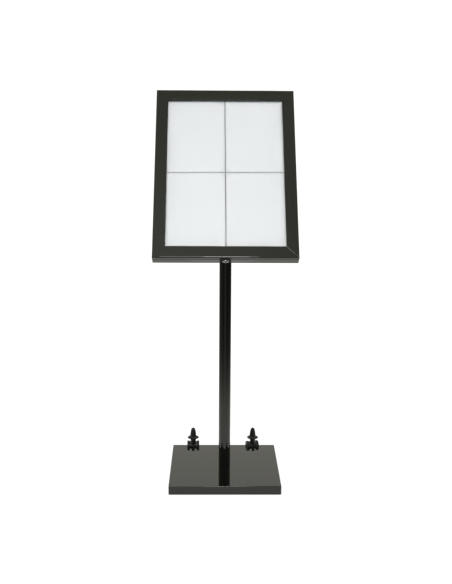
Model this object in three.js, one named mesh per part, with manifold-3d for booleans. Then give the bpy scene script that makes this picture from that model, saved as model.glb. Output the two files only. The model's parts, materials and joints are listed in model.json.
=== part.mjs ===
// Sign stand: a lockable display case for four pages, leaning back on a round post,
// with a square weighted base and two small plug-in casters parked on it.
// Millimetres, +Z up. The origin is on the floor under the axis of the post.
// The front of the stand, where a reader stands, faces -Y.

import * as THREE from 'three';
import { mergeVertices } from 'three/addons/utils/BufferGeometryUtils.js';
import Module from 'manifold-3d';

const wasm = await Module();
wasm.setup();

// ---------------------------------------------------------------- driving dimensions

const GAP = 0.3;                       // clearance between pieces that touch

const BASE = { side: 392, bottom: 2, top: 32, wall: 2 };
const BALLAST = { side: 380, thickness: 14 };
const FLOOR_PAN = { side: 386, bottom: 3, wall: 1.5, accessRadius: 25 };
const CENTRE_PLUG = { radius: 29, top: 5.1 };
const FOOT = { radius: 15, inset: 36, studRadius: 3, studTop: 23 };
const FOOT_BOLT = { shankRadius: 5.7, headAcross: 18, headHeight: 7, washerRadius: 15, washerHeight: 2.5 };

const POST = { radius: 21.2, wall: 2, plugHeight: 24 };

const TILT = THREE.MathUtils.degToRad(33);
const CASE = { width: 508, height: 680, depth: 46, sheet: 1.5, flange: 16 };
const CASE_FRONT_EDGE = { y: -69, z: 812 };         // lowest front corner line of the case
const RAIL = { width: 44, depth: 13, wall: 2, chamber: 34, lipDepth: 8.5, edgeRadius: 5, mitreGap: 0.2 };
const PARTING = 1.6;                   // slot between the door frame and the case body
const GLAZING = { thickness: 3, cover: 8.6 };
const SEAL = { inset: 4, width: 6, thickness: 1 };

const BOARD = { width: 470, bottom: 36, top: 661, thickness: 1.2 };
const PAGE = { width: 210, height: 297, thickness: 0.6, gapAcross: 2.6, gapUp: 2, skew: 0.3 };
const PAGE_DISC = { radius: 19, thickness: 1.2 };
const BOARD_RAIL = { offset: 150, length: 590, flange: 14, crown: 30, sheet: 1.5 };

const HEAD_PLATE = { halfWidth: 54, bottom: 6, top: 132, thickness: 5 };
const HEAD_BOLT = { across: 42, low: 26, high: 114, shankRadius: 3, headAcross: 10, headHeight: 4.4 };
const BACKING = { halfWidth: 52, bottom: 14, top: 128, thickness: 4 };

const HINGE = { offset: 150, length: 70, knuckleRadius: 2.6, pinRadius: 1.2, leaf: 1, middle: 22 };
const LOCK = { depth: 30, barrelRadius: 8.2, ringRadius: 11, ringHeight: 2.2, plugRadius: 5, camReach: 12.8 };

const CASTER = { wheelRadius: 19, wheelWidth: 9, track: 18, trail: 6, hoodHalf: 13, stemJoint: 44 };
const CASTER_PLACES = [
  { name: 'left', x: -117, y: 133, turn: 0 },
  { name: 'right', x: 109, y: 133, turn: 12 },
];

// ---------------------------------------------------------------- finishes

function finish(color, roughness, metalness) {
  return new THREE.MeshStandardMaterial({ color, roughness, metalness });
}

const blackLacquer = () => finish(0x0b0b0a, 0.08, 0.0);
const rawSteel = () => finish(0x6c6f72, 0.45, 0.9);
const zincSteel = () => finish(0xb9bcbe, 0.35, 0.95);
const chrome = () => finish(0xd6d8da, 0.12, 1.0);
const castAluminium = () => finish(0x9a9c9e, 0.5, 0.85);
const blackRubber = () => finish(0x161616, 0.8, 0.0);
const blackNylon = () => finish(0x121212, 0.4, 0.0);
const greyBoard = () => finish(0x3a3c3d, 0.6, 0.0);
const paper = () => finish(0xeef2f4, 0.85, 0.0);
const clearAcrylic = () => finish(0xf3f8fa, 0.05, 0.0);

// ---------------------------------------------------------------- solid helpers

function toManifold(geometry) {
  const plain = geometry.index ? geometry.clone() : geometry;
  plain.deleteAttribute('normal');
  plain.deleteAttribute('uv');
  const merged = mergeVertices(plain, 1e-4);
  const vertProperties = new Float32Array(merged.attributes.position.array);
  const triVerts = new Uint32Array(merged.index.array);
  return new wasm.Manifold(new wasm.Mesh({ numProp: 3, vertProperties, triVerts }));
}

function toGeometry(manifold) {
  const mesh = manifold.getMesh();
  const geometry = new THREE.BufferGeometry();
  geometry.setAttribute('position', new THREE.BufferAttribute(new Float32Array(mesh.vertProperties), 3));
  geometry.setIndex(new THREE.BufferAttribute(new Uint32Array(mesh.triVerts), 1));
  geometry.computeVertexNormals();
  return geometry;
}

function join(...geometries) {
  return toGeometry(geometries.map(toManifold).reduce((sum, next) => sum.add(next)));
}

function cut(geometry, ...tools) {
  return toGeometry(tools.map(toManifold).reduce((left, tool) => left.subtract(tool), toManifold(geometry)));
}

// Box between two opposite corners.
function box([x0, x1], [y0, y1], [z0, z1]) {
  const geometry = new THREE.BoxGeometry(x1 - x0, y1 - y0, z1 - z0);
  return geometry.translate((x0 + x1) / 2, (y0 + y1) / 2, (z0 + z1) / 2);
}

// Upright cylinder between two heights.
function rod(radius, z0, z1, x = 0, y = 0, segments = 24) {
  const geometry = new THREE.CylinderGeometry(radius, radius, z1 - z0, segments);
  return geometry.rotateX(Math.PI / 2).translate(x, y, (z0 + z1) / 2);
}

// Cylinder along X between two stations.
function rodAcross(radius, x0, x1, y, z, segments = 16) {
  const geometry = new THREE.CylinderGeometry(radius, radius, x1 - x0, segments);
  return geometry.rotateZ(Math.PI / 2).translate((x0 + x1) / 2, y, z);
}

// Cylinder along Y between two stations.
function rodThrough(radius, y0, y1, x, z, segments = 16) {
  const geometry = new THREE.CylinderGeometry(radius, radius, y1 - y0, segments);
  return geometry.translate(x, (y0 + y1) / 2, z);
}

// Solid of revolution about Z from [radius, height] points that start and end on the axis.
function turned(points, segments = 32) {
  const outline = points.map(([radius, height]) => new THREE.Vector2(radius, height));
  return new THREE.LatheGeometry(outline, segments).rotateX(Math.PI / 2);
}

function outlineShape(points) {
  return new THREE.Shape(points.map(([a, b]) => new THREE.Vector2(a, b)));
}

// Prism of an [x, y] outline between two heights.
function prism(points, z0, z1) {
  const geometry = new THREE.ExtrudeGeometry(outlineShape(points), { depth: z1 - z0, bevelEnabled: false });
  return geometry.translate(0, 0, z0);
}

function rectangle(x0, x1, y0, y1) {
  return [[x0, y0], [x1, y0], [x1, y1], [x0, y1]];
}

function hexagon(across) {
  const radius = across / Math.sqrt(3);
  return Array.from({ length: 6 }, (_, i) => {
    const angle = (i * Math.PI) / 3;
    return [radius * Math.cos(angle), radius * Math.sin(angle)];
  });
}

// Flat upright ring, thin in Y, following the case outline between two insets.
function uprightRing(outerInset, innerInset, y0, y1) {
  const half = CASE.width / 2;
  const outer = rectangle(-half + outerInset, half - outerInset, outerInset, CASE.height - outerInset);
  const shape = outlineShape(outer);
  const hole = rectangle(-half + innerInset, half - innerInset, innerInset, CASE.height - innerInset);
  shape.holes.push(new THREE.Path(hole.map(([a, b]) => new THREE.Vector2(a, b))));
  const geometry = new THREE.ExtrudeGeometry(shape, { depth: y1 - y0, bevelEnabled: false });
  return geometry.rotateX(Math.PI / 2).translate(0, y1, 0);
}

function piece(parent, name, geometry, material) {
  const mesh = new THREE.Mesh(geometry, material);
  mesh.name = name;
  parent.add(mesh);
  return mesh;
}

// ---------------------------------------------------------------- base

const ballastTop = BASE.top - BASE.wall - GAP;
const ballastBottom = ballastTop - BALLAST.thickness;
const footPlaces = [[-1, -1], [1, -1], [1, 1], [-1, 1]].map(([sx, sy]) => {
  const reach = BASE.side / 2 - FOOT.inset;
  return [sx * reach, sy * reach];
});

function baseCover() {
  const half = BASE.side / 2;
  const inner = half - BASE.wall;
  const shell = box([-half, half], [-half, half], [BASE.bottom, BASE.top]);
  const hollow = box([-inner, inner], [-inner, inner], [BASE.bottom - 1, BASE.top - BASE.wall]);
  const boltHole = rod(FOOT_BOLT.shankRadius + 0.8, BASE.top - BASE.wall - 1, BASE.top + 1);
  return cut(shell, hollow, boltHole);
}

function ballastPlate() {
  const half = BALLAST.side / 2;
  const boltHole = rod(FOOT_BOLT.shankRadius + 0.8, ballastBottom - 1, ballastTop + 1);
  const studHoles = footPlaces.map(([x, y]) => (
    rod(FOOT.studRadius + GAP, ballastBottom - 1, FOOT.studTop + 1, x, y, 12)
  ));
  return cut(box([-half, half], [-half, half], [ballastBottom, ballastTop]), boltHole, ...studHoles);
}

function baseFloorPan() {
  const half = FLOOR_PAN.side / 2;
  const inner = half - FLOOR_PAN.wall;
  const floorTop = FLOOR_PAN.bottom + FLOOR_PAN.wall;
  const pan = box([-half, half], [-half, half], [FLOOR_PAN.bottom, ballastBottom - GAP]);
  const hollow = box([-inner, inner], [-inner, inner], [floorTop, ballastBottom + 1]);
  const access = rod(FLOOR_PAN.accessRadius, FLOOR_PAN.bottom - 1, floorTop + 1, 0, 0, 32);
  const studHoles = footPlaces.map(([x, y]) => (
    rod(FOOT.studRadius + GAP, FLOOR_PAN.bottom - 1, floorTop + 1, x, y, 12)
  ));
  return cut(pan, hollow, access, ...studHoles);
}

function rubberFoot() {
  const padTop = FLOOR_PAN.bottom - GAP;
  return turned([
    [0, 0], [FOOT.radius - 1, 0], [FOOT.radius, 1], [FOOT.radius, padTop],
    [FOOT.studRadius, padTop], [FOOT.studRadius, FOOT.studTop], [0, FOOT.studTop],
  ], 24);
}

// Rubber plug that closes the spanner opening under the post bolt; it rests on the floor.
function centrePlug() {
  const padTop = FLOOR_PAN.bottom - GAP;
  const neck = FLOOR_PAN.accessRadius - GAP;
  return turned([
    [0, 0], [CENTRE_PLUG.radius - 1, 0], [CENTRE_PLUG.radius, 1], [CENTRE_PLUG.radius, padTop],
    [neck, padTop], [neck, CENTRE_PLUG.top], [0, CENTRE_PLUG.top],
  ], 32);
}

const washerTop = ballastBottom - GAP;
const boltHeadTop = washerTop - FOOT_BOLT.washerHeight - GAP;

function postWasher() {
  const disc = rod(FOOT_BOLT.washerRadius, washerTop - FOOT_BOLT.washerHeight, washerTop);
  return cut(disc, rod(FOOT_BOLT.shankRadius + 0.6, 0, washerTop + 1));
}

function postBolt() {
  const head = prism(hexagon(FOOT_BOLT.headAcross), boltHeadTop - FOOT_BOLT.headHeight, boltHeadTop);
  return join(head, rod(FOOT_BOLT.shankRadius, boltHeadTop - 1, BASE.top + POST.plugHeight - 3));
}

function buildBase(stand) {
  piece(stand, 'base_cover', baseCover(), blackLacquer());
  piece(stand, 'ballast_plate', ballastPlate(), rawSteel());
  piece(stand, 'base_floor_pan', baseFloorPan(), zincSteel());
  footPlaces.forEach(([x, y], i) => {
    piece(stand, `rubber_foot_${i + 1}`, rubberFoot(), blackRubber()).position.set(x, y, 0);
  });
  piece(stand, 'centre_plug', centrePlug(), blackRubber());
  piece(stand, 'post_washer', postWasher(), zincSteel());
  piece(stand, 'post_bolt', postBolt(), zincSteel());
}

// ---------------------------------------------------------------- post

// The case stands in a tilted frame: X across, Y into its depth, Z up its slope.
function placeInCaseFrame(object) {
  object.position.set(0, CASE_FRONT_EDGE.y, CASE_FRONT_EDGE.z);
  object.rotation.x = -TILT;
  return object;
}

const headPlateFront = CASE.depth + GAP;
const headPlateBack = headPlateFront + HEAD_PLATE.thickness;

// Round tube, mitred at the top to lie against the back of the head plate.
function postTube() {
  const bottom = BASE.top + GAP;
  const top = CASE_FRONT_EDGE.z + HEAD_PLATE.top;
  const outside = rod(POST.radius, bottom, top, 0, 0, 48);
  const inside = rod(POST.radius - POST.wall, bottom - 1, top + 1, 0, 0, 48);
  const space = new THREE.Object3D();
  placeInCaseFrame(space).updateMatrix();
  const caseSide = box([-200, 200], [-400, headPlateBack + GAP], [-300, 500]).applyMatrix4(space.matrix);
  return cut(outside, inside, caseSide);
}

function postPlug() {
  const bottom = BASE.top + GAP;
  const plug = rod(POST.radius - POST.wall - GAP, bottom, bottom + POST.plugHeight, 0, 0, 48);
  return cut(plug, rod(FOOT_BOLT.shankRadius + GAP, bottom - 1, bottom + POST.plugHeight + 1));
}

const headBoltPlaces = [-1, 1].flatMap((side) => (
  [HEAD_BOLT.low, HEAD_BOLT.high].map((height) => [side * HEAD_BOLT.across, height])
));

function drilled(plate, radius, y0, y1) {
  return cut(plate, ...headBoltPlaces.map(([x, z]) => rodThrough(radius, y0 - 1, y1 + 1, x, z)));
}

function headPlate() {
  const half = HEAD_PLATE.halfWidth;
  const plate = box([-half, half], [headPlateFront, headPlateBack], [HEAD_PLATE.bottom, HEAD_PLATE.top]);
  return drilled(plate, HEAD_BOLT.shankRadius + 0.4, headPlateFront, headPlateBack);
}

const backWallFront = CASE.depth - CASE.sheet;

function backingPlate() {
  const y1 = backWallFront - GAP;
  const y0 = y1 - BACKING.thickness;
  const plate = box([-BACKING.halfWidth, BACKING.halfWidth], [y0, y1], [BACKING.bottom, BACKING.top]);
  return drilled(plate, HEAD_BOLT.shankRadius + GAP, y0, y1);
}

// Hex-head bolt along Y, head outside, its end showing just inside the backing plate.
function headBolt() {
  const under = headPlateBack + GAP;
  const head = prism(hexagon(HEAD_BOLT.headAcross), 0, HEAD_BOLT.headHeight).rotateX(-Math.PI / 2);
  const tip = backWallFront - BACKING.thickness - 4;
  return join(head.translate(0, under, 0), rodThrough(HEAD_BOLT.shankRadius, tip, under + 1, 0, 0));
}

function buildPost(stand, display) {
  piece(stand, 'post_tube', postTube(), blackLacquer());
  piece(stand, 'post_plug', postPlug(), rawSteel());
  piece(display, 'head_plate', headPlate(), blackLacquer());
  piece(display, 'backing_plate', backingPlate(), zincSteel());
  headBoltPlaces.forEach(([x, z], i) => {
    piece(display, `head_bolt_${i + 1}`, headBolt(), zincSteel()).position.set(x, 0, z);
  });
}

// ---------------------------------------------------------------- case body and pages

const bodyFront = RAIL.depth + PARTING;

function caseBody() {
  const half = CASE.width / 2;
  const inner = half - CASE.sheet;
  const mouth = half - CASE.flange;
  const shell = box([-half, half], [bodyFront, CASE.depth], [0, CASE.height]);
  const flangeBack = bodyFront + CASE.sheet;
  const hollow = box([-inner, inner], [flangeBack, backWallFront], [CASE.sheet, CASE.height - CASE.sheet]);
  const flangeTop = CASE.height - CASE.flange;
  const opening = box([-mouth, mouth], [bodyFront - 1, flangeBack + 1], [CASE.flange, flangeTop]);
  const lockHole = rod(LOCK.barrelRadius + GAP, -1, CASE.sheet + 1, 0, LOCK.depth);
  const body = cut(shell, hollow, opening, lockHole);
  return drilled(body, HEAD_BOLT.shankRadius + 0.4, backWallFront, CASE.depth);
}

const boardFront = bodyFront + GAP;
const boardBack = boardFront + BOARD.thickness;

function pageBoard() {
  const half = BOARD.width / 2;
  return box([-half, half], [boardFront, boardBack], [BOARD.bottom, BOARD.top]);
}

// Top-hat channel between the page board and the back wall.
function boardRail() {
  const front = boardBack + GAP;
  const back = backWallFront - GAP;
  const crown = BOARD_RAIL.crown / 2;
  const foot = crown + BOARD_RAIL.flange;
  const t = BOARD_RAIL.sheet;
  const section = [
    [-foot, back - t], [-crown, back - t], [-crown, front],
    [crown, front], [crown, back - t], [foot, back - t],
    [foot, back], [crown - t, back], [crown - t, front + t],
    [t - crown, front + t], [t - crown, back], [-foot, back],
  ];
  const middle = CASE.height / 2;
  return prism(section, middle - BOARD_RAIL.length / 2, middle + BOARD_RAIL.length / 2);
}

const pageBack = boardFront - GAP;
const pageFront = pageBack - PAGE.thickness;

function page() {
  return box([-PAGE.width / 2, PAGE.width / 2], [pageFront, pageBack], [-PAGE.height / 2, PAGE.height / 2]);
}

// Four pages, two by two, laid in by hand a touch out of square.
function addPages(display) {
  const set = new THREE.Group();
  set.position.z = CASE.height / 2;
  set.rotation.y = -THREE.MathUtils.degToRad(PAGE.skew);
  display.add(set);
  const across = (PAGE.width + PAGE.gapAcross) / 2;
  const up = (PAGE.height + PAGE.gapUp) / 2;
  const places = { top_left: [-1, 1], top_right: [1, 1], bottom_left: [-1, -1], bottom_right: [1, -1] };
  Object.entries(places).forEach(([corner, [sx, sz]]) => {
    piece(set, `page_${corner}`, page(), paper()).position.set(sx * across, 0, sz * up);
  });
  const disc = rodThrough(PAGE_DISC.radius, pageFront - GAP - PAGE_DISC.thickness, pageFront - GAP, 0, 0, 32);
  piece(set, 'page_holding_disc', disc, clearAcrylic());
}

function buildCase(display) {
  piece(display, 'case_body', caseBody(), blackLacquer());
  piece(display, 'page_board', pageBoard(), greyBoard());
  piece(display, 'board_rail_left', boardRail(), zincSteel()).position.x = -BOARD_RAIL.offset;
  piece(display, 'board_rail_right', boardRail(), zincSteel()).position.x = BOARD_RAIL.offset;
  const sealBack = bodyFront - GAP;
  const seal = uprightRing(SEAL.inset, SEAL.inset + SEAL.width, sealBack - SEAL.thickness, sealBack);
  piece(display, 'door_seal', seal, blackRubber());
  addPages(display);
}

// ---------------------------------------------------------------- door

// Hollow frame section with its outer front edge rounded and a lip around the window.
function railSection() {
  const { width, depth, wall, chamber, lipDepth, edgeRadius } = RAIL;
  const shape = new THREE.Shape();
  shape.moveTo(0, depth);
  shape.lineTo(0, edgeRadius);
  shape.absarc(edgeRadius, edgeRadius, edgeRadius, Math.PI, 1.5 * Math.PI, false);
  shape.lineTo(width, 0);
  shape.lineTo(width, lipDepth);
  shape.lineTo(width - wall, lipDepth);
  shape.lineTo(width - wall, wall);
  shape.lineTo(chamber, wall);
  shape.lineTo(chamber, depth);
  shape.closePath();
  const inset = wall + 0.5;
  const hole = rectangle(inset, chamber - wall, inset, depth - wall);
  shape.holes.push(new THREE.Path(hole.map(([a, b]) => new THREE.Vector2(a, b))));
  return shape;
}

// One side of the door frame along Z, its outer edge at X = 0, with both ends mitred.
function mitredRail(length) {
  const options = { depth: 1, bevelEnabled: false, curveSegments: 5 };
  const geometry = new THREE.ExtrudeGeometry(railSection(), options);
  const position = geometry.attributes.position;
  for (let i = 0; i < position.count; i += 1) {
    const end = position.getZ(i) > 0.5 ? 1 : -1;
    position.setZ(i, end * (length / 2 - position.getX(i) - RAIL.mitreGap));
  }
  geometry.computeVertexNormals();
  return geometry;
}

// L-shaped key that holds a mitre together inside the hollow rails.
function cornerKey() {
  const low = RAIL.wall + 0.5 + GAP;
  const high = RAIL.chamber - RAIL.wall - GAP;
  const leg = 95;
  const outline = [[low, low], [leg, low], [leg, high], [high, high], [high, leg], [low, leg]];
  return prism(outline, RAIL.wall + GAP - RAIL.depth, -low).rotateX(Math.PI / 2);
}

function glazing() {
  const inset = RAIL.width - GLAZING.cover;
  const half = CASE.width / 2 - inset;
  const front = RAIL.lipDepth + GAP;
  return box([-half, half], [front, front + GLAZING.thickness], [inset, CASE.height - inset]);
}

function glazingGasket() {
  const front = RAIL.lipDepth + GLAZING.thickness + 2 * GAP;
  return uprightRing(RAIL.chamber + GAP, RAIL.width - 1, front, RAIL.depth);
}

// Bent strap on the bottom rail; its hanging end catches behind the cam of the lock.
function lockKeeper() {
  const t = 1.5;
  const front = RAIL.depth + GAP;
  const end = LOCK.depth + 9.5;
  const across = [7.5, 18];
  const foot = box(across, [front, front + t], [18, 32]);
  const arm = box(across, [front, end], [32 - t, 32]);
  const catchEnd = box(across, [end - t, end], [16.5, 32]);
  return join(foot, arm, catchEnd);
}

function buildDoor(display) {
  const half = CASE.width / 2;
  const middle = CASE.height / 2;
  const sides = [
    { name: 'left', length: CASE.height, x: -half, z: middle, turn: 0 },
    { name: 'top', length: CASE.width, x: 0, z: CASE.height, turn: 90 },
    { name: 'right', length: CASE.height, x: half, z: middle, turn: 180 },
    { name: 'bottom', length: CASE.width, x: 0, z: 0, turn: -90 },
  ];
  sides.forEach(({ name, length, x, z, turn }) => {
    const rail = piece(display, `door_rail_${name}`, mitredRail(length), blackLacquer());
    rail.position.set(x, 0, z);
    rail.rotation.y = THREE.MathUtils.degToRad(turn);
  });
  const corners = [[-half, 0, 0], [-half, CASE.height, 90], [half, CASE.height, 180], [half, 0, -90]];
  corners.forEach(([x, z, turn], i) => {
    const key = piece(display, `corner_key_${i + 1}`, cornerKey(), castAluminium());
    key.position.set(x, 0, z);
    key.rotation.y = THREE.MathUtils.degToRad(turn);
  });
  piece(display, 'glazing', glazing(), clearAcrylic());
  piece(display, 'glazing_gasket', glazingGasket(), blackRubber());
  piece(display, 'lock_keeper', lockKeeper(), zincSteel());
}

// ---------------------------------------------------------------- hinges

const hingeAxis = { y: RAIL.depth + PARTING / 2, z: CASE.height + GAP + HINGE.knuckleRadius };

// Leaf on the top edge: a strip of sheet, with a knuckle over each span it owns.
function hingeLeaf(stripNear, stripFar, spans) {
  const half = HINGE.length / 2;
  const z0 = CASE.height + GAP;
  const z1 = z0 + HINGE.leaf;
  const strip = box([-half, half], [Math.min(stripNear, stripFar), Math.max(stripNear, stripFar)], [z0, z1]);
  const knuckles = spans.flatMap(([x0, x1]) => [
    box([x0, x1], [Math.min(stripNear, hingeAxis.y), Math.max(stripNear, hingeAxis.y)], [z0, z1]),
    rodAcross(HINGE.knuckleRadius, x0, x1, hingeAxis.y, hingeAxis.z),
  ]);
  const bore = rodAcross(HINGE.pinRadius + GAP, -half - 1, half + 1, hingeAxis.y, hingeAxis.z, 12);
  return cut(join(strip, ...knuckles), bore);
}

function buildHinges(display) {
  const half = HINGE.length / 2;
  const middle = HINGE.middle / 2;
  const clear = HINGE.knuckleRadius + 0.6;
  [['left', -1], ['right', 1]].forEach(([name, side]) => {
    const hinge = new THREE.Group();
    hinge.position.x = side * HINGE.offset;
    display.add(hinge);
    const doorLeaf = hingeLeaf(hingeAxis.y - clear, RAIL.edgeRadius + GAP, [[-middle, middle]]);
    const caseLeaf = hingeLeaf(hingeAxis.y + clear, CASE.depth - 8, [
      [-half, -middle - GAP],
      [middle + GAP, half],
    ]);
    const pin = rodAcross(HINGE.pinRadius, -half, half, hingeAxis.y, hingeAxis.z, 12);
    piece(hinge, `hinge_${name}_door_leaf`, doorLeaf, blackLacquer());
    piece(hinge, `hinge_${name}_case_leaf`, caseLeaf, blackLacquer());
    piece(hinge, `hinge_${name}_pin`, pin, zincSteel());
  });
}

// ---------------------------------------------------------------- lock

const camBottom = 17.8;
const camThickness = 2;

function lockBarrel() {
  const { ringRadius, ringHeight, barrelRadius, plugRadius } = LOCK;
  const body = turned([
    [0, -GAP - ringHeight], [ringRadius - 1.4, -GAP - ringHeight], [ringRadius, -GAP - ringHeight + 1.2],
    [ringRadius, -GAP], [barrelRadius, -GAP], [barrelRadius, 14], [0, 14],
  ], 24);
  return cut(body, rod(plugRadius + GAP, -10, 20));
}

function lockNut() {
  const z0 = CASE.sheet + GAP;
  return cut(prism(hexagon(22), z0, z0 + 4), rod(LOCK.barrelRadius + GAP, z0 - 1, z0 + 5));
}

// Turning core with its key slot below and the screw head that holds the cam above.
function lockPlug() {
  const neck = 3.4;
  const core = turned([
    [0, -3], [LOCK.plugRadius - 0.4, -3], [LOCK.plugRadius, -2.6], [LOCK.plugRadius, 14.6], [neck, 14.6],
    [neck, camBottom + camThickness + GAP], [5.4, camBottom + camThickness + GAP], [5.4, 22.4], [0, 22.4],
  ], 20);
  return cut(core, box([-0.8, 0.8], [-3.4, 3.4], [-4, 4]));
}

// Flat cam with clipped corners, modelled unlocked: it points forwards, clear of the keeper.
function lockCam() {
  const half = 6;
  const clip = 2;
  const end = -LOCK.camReach;
  const outline = [
    [-half, half], [-half, end + clip], [clip - half, end],
    [half - clip, end], [half, end + clip], [half, half],
  ];
  const plate = prism(outline, camBottom, camBottom + camThickness);
  return cut(plate, rod(3.4 + GAP, camBottom - 1, camBottom + camThickness + 1, 0, 0, 20));
}

function buildLock(display) {
  const lock = new THREE.Group();
  lock.position.y = LOCK.depth;
  display.add(lock);
  piece(lock, 'lock_barrel', lockBarrel(), chrome());
  piece(lock, 'lock_nut', lockNut(), zincSteel());
  piece(lock, 'lock_plug', lockPlug(), chrome());
  piece(lock, 'lock_cam', lockCam(), zincSteel());
}

// ---------------------------------------------------------------- casters

const axleRadius = 2.5;
const bossRadius = 10;

function casterWheel() {
  const { wheelRadius: r, wheelWidth: w } = CASTER;
  const profile = turned([
    [0, -w / 2 + 1.2], [6, -w / 2 + 1.2], [7, -w / 2], [r - 2, -w / 2], [r, -w / 2 + 2],
    [r, w / 2 - 2], [r - 2, w / 2], [7, w / 2], [6, w / 2 - 1.2], [0, w / 2 - 1.2],
  ], 32);
  return cut(profile, rod(axleRadius + GAP, -w, w, 0, 0, 16)).rotateY(Math.PI / 2);
}

// Hood between the wheels: arched cover, stem boss, axle hub with a web under it, and a front tongue.
function casterHood() {
  const { wheelRadius: r, trail, hoodHalf, stemJoint } = CASTER;
  const arch = rodAcross(r - 1.5, -hoodHalf, hoodHalf, trail, r, 32);
  const openBelow = box([-hoodHalf - 1, hoodHalf + 1], [-40, 60], [-5, r - 1]);
  const cover = cut(arch, openBelow);
  const boss = rod(bossRadius, r, stemJoint - GAP / 2, 0, 0, 24);
  const hub = rodAcross(8, -hoodHalf, hoodHalf, trail, r, 20);
  const web = box([-hoodHalf, hoodHalf], [trail - 4, trail + 4], [6.5, r]);
  const tongue = box([-5, 5], [trail - r + 2, trail - r + 6], [2.5, r + 2]);
  const hood = join(cover, boss, hub, web, tongue);
  const axleHole = rodAcross(axleRadius + GAP, -20, 20, trail, r);
  const stemHole = rod(4.3, r + 6, stemJoint + 1, 0, 0, 16);
  return cut(hood, axleHole, stemHole);
}

// Swivelling plug: pin into the hood, neck, stop flange and a slotted bullet end.
function casterPlug() {
  const joint = CASTER.stemJoint + GAP / 2;
  const body = turned([
    [0, CASTER.wheelRadius + 7], [4, CASTER.wheelRadius + 7], [4, joint], [bossRadius, joint],
    [bossRadius, 51], [20, 53], [21.5, 54.5], [20, 56], [11.6, 58.5],
    [11.2, 66], [10, 76], [8.4, 84], [6.4, 90], [3.8, 93.2], [0, 94],
  ], 24);
  return cut(body, box([-15, 15], [-1.1, 1.1], [62, 88]));
}

function buildCasters(stand) {
  const { wheelRadius, track, trail } = CASTER;
  CASTER_PLACES.forEach(({ name, x, y, turn }) => {
    const caster = new THREE.Group();
    caster.position.set(x, y, BASE.top + GAP);
    caster.rotation.z = THREE.MathUtils.degToRad(turn);
    stand.add(caster);
    piece(caster, `caster_${name}_hood`, casterHood(), blackNylon());
    piece(caster, `caster_${name}_plug`, casterPlug(), blackNylon());
    const axle = rodAcross(axleRadius, -track - 3.8, track + 3.8, trail, wheelRadius);
    piece(caster, `caster_${name}_axle`, axle, zincSteel());
    [['a', -1], ['b', 1]].forEach(([letter, side]) => {
      const wheel = piece(caster, `caster_${name}_wheel_${letter}`, casterWheel(), blackNylon());
      wheel.position.set(side * track, trail, wheelRadius);
    });
  });
}

// ---------------------------------------------------------------- assembly

const stand = new THREE.Group();
const display = placeInCaseFrame(new THREE.Group());
stand.add(display);
buildBase(stand);
buildPost(stand, display);
buildCase(display);
buildDoor(display);
buildHinges(display);
buildLock(display);
buildCasters(stand);

export default stand;
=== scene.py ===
"""Looks of a sign stand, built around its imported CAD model.

The stand is a display case for four pages that leans back on a round post, which stands on a
square base with two parked casters. Everything is gloss black. Blender 4.5, metres, +Z up, the
front of the stand faces -Y.
"""

import json
import math

import bmesh
import bpy
from mathutils import Euler, Matrix, Vector, noise


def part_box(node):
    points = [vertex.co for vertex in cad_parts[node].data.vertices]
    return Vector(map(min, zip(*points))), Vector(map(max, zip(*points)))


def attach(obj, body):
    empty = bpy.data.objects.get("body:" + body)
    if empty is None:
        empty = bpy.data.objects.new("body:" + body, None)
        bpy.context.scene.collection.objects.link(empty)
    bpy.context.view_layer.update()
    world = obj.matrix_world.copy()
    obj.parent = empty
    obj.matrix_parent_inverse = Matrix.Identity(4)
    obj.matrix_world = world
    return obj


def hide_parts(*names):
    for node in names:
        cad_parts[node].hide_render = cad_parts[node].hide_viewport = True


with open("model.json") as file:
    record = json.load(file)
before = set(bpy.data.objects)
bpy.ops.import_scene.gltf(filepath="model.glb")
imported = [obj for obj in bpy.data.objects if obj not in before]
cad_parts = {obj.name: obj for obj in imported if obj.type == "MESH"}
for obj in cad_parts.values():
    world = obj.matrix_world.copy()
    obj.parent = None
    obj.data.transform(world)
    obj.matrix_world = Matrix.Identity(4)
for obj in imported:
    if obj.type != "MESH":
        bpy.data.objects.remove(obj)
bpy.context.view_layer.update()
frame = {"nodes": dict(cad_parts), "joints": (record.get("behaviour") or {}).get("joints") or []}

MM = 0.001
nodes = frame["nodes"]
joints = {joint["name"]: joint for joint in frame["joints"]}

# ---------------------------------------------------------------- frames of reference

# The case frame: X across, Y into the depth of the case, Z up its slope.
slope_axis = Vector(joints["lock_turn"]["axis"])
case_turn = Matrix.Rotation(-math.atan2(slope_axis.y, slope_axis.z), 4, "X")

# The drawing frame of the case front: X across, Y up the slope, Z towards the reader.
front_turn = case_turn @ Matrix.Rotation(math.pi / 2, 4, "X")


def box_in(turn, name):
    """Lowest and highest corner of a CAD node in a turned frame."""
    inverse = turn.inverted()
    points = [inverse @ vertex.co for vertex in nodes[name].data.vertices]
    return Vector(map(min, *points)), Vector(map(max, *points))


# ---------------------------------------------------------------- node material helpers


def add_node(tree, kind, inputs=None, **settings):
    """Adds a shader node; an input is a plain value or the output socket that feeds it."""
    made = tree.nodes.new(kind)
    for key, value in settings.items():
        setattr(made, key, value)
    for key, value in (inputs or {}).items():
        if isinstance(value, bpy.types.NodeSocket):
            tree.links.new(value, made.inputs[key])
        else:
            made.inputs[key].default_value = value
    return made


def new_material(name, **values):
    """A Principled material with plain values on its sockets; returns it, its tree, shader and place."""
    material = bpy.data.materials.new(name)
    material.use_nodes = True
    tree = material.node_tree
    shader = tree.nodes["Principled BSDF"]
    for key, value in values.items():
        shader.inputs[key.replace("_", " ")].default_value = value
    place = add_node(tree, "ShaderNodeTexCoord").outputs["Object"]
    return material, tree, shader, place


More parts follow.
